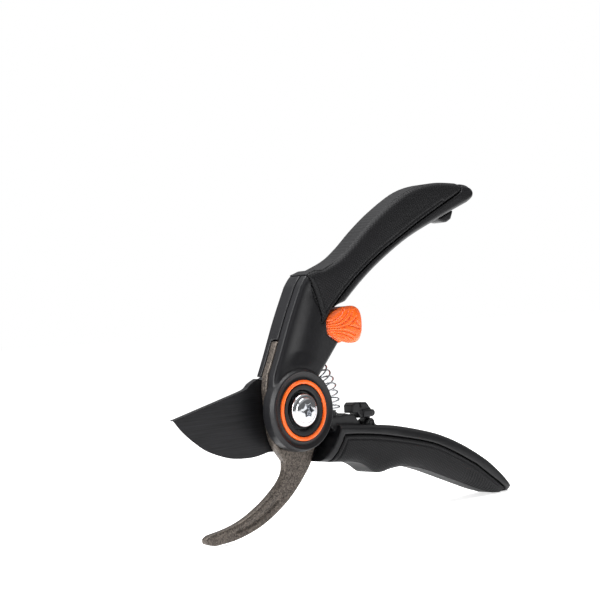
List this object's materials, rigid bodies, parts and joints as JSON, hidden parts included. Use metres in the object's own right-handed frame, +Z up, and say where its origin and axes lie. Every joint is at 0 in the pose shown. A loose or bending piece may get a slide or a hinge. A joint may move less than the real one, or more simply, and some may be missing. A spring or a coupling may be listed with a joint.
{
  "type": "bypass pruner",
  "caption": "Hand pruner, open, with a curved bypass blade, a hook jaw, two soft grip handles, a coil return spring and an orange thumb catch.",
  "frame": {"origin": "centre of the bounding box at the lowest level, where the tip of the hook and the end of the lower handle stand on a surface", "axes": "+Z up; +X from the jaws towards the handle ends; the pivot axis lies along Y, and the bolt head faces -Y"},
  "size_m": [0.2012, 0.0252, 0.1526],
  "materials": {
    "hard_black_plastic": "fine spark-eroded texture, glass-filled nylon",
    "soft_black_grip": "matt overmoulded TPE with a fine cross-ribbed texture",
    "orange_plastic": "semi-gloss moulded nylon",
    "black_coated_steel": "non-stick coating over lengthwise grinding",
    "grey_coated_steel": "metallic grey-brown speckled coating",
    "chromed_steel": "polished",
    "zinc_plated_steel": "bright zinc",
    "spring_steel": "bright drawn wire",
    "bronze": "sintered",
    "white_nylon": "plain"
  },
  "bodies": {
    "upper_handle": {"hook": "grey_coated_steel", "upper_front_shell": "hard_black_plastic", "upper_back_shell": "hard_black_plastic", "upper_grip": "soft_black_grip", "pivot_trim_ring": "orange_plastic", "bolt_recess_cup": "soft_black_grip", "pivot_bolt": "chromed_steel", "pivot_bush": "bronze", "pivot_nut": "zinc_plated_steel", "thumb_catch_pin": "zinc_plated_steel", "end_buffer": "soft_black_grip", "upper_screw_1": "zinc_plated_steel", "upper_screw_2": "zinc_plated_steel", "upper_screw_3": "zinc_plated_steel", "main_spring": "spring_steel", "upper_spring_seat": "hard_black_plastic"},
    "lower_handle": {"blade": "black_coated_steel", "lower_front_shell": "hard_black_plastic", "lower_back_shell": "hard_black_plastic", "lower_grip": "soft_black_grip", "nut_washer": "white_nylon", "blade_rivet_1": "zinc_plated_steel", "blade_rivet_2": "zinc_plated_steel", "lower_screw_1": "zinc_plated_steel", "lower_screw_2": "zinc_plated_steel", "catch_lever_pin": "zinc_plated_steel", "lower_spring_seat": "hard_black_plastic"},
    "thumb_catch": {"thumb_catch": "orange_plastic"},
    "catch_lever": {"catch_lever": "hard_black_plastic"}
  },
  "joints": [
    {"name": "blade_pivot", "type": "hinge", "parent": "upper_handle", "child": "lower_handle", "pos_m": [-0.03815, 0.00136, 0.05275], "axis": [0, -1, 0], "range_deg": [0, 49], "stiffness_Nm_per_rad": 0.6, "springref_deg": -20.05, "deforming": ["main_spring"]},
    {"name": "thumb_catch_turn", "type": "hinge", "parent": "upper_handle", "child": "thumb_catch", "pos_m": [-0.02365, -0.00124, 0.08875], "axis": [0, 1, 0], "range_deg": [-5, 0]},
    {"name": "catch_lever_turn", "type": "hinge", "parent": "lower_handle", "child": "catch_lever", "pos_m": [0.00745, -0.00124, 0.04275], "axis": [0, -1, 0], "range_deg": [-10, 0]}
  ]
}
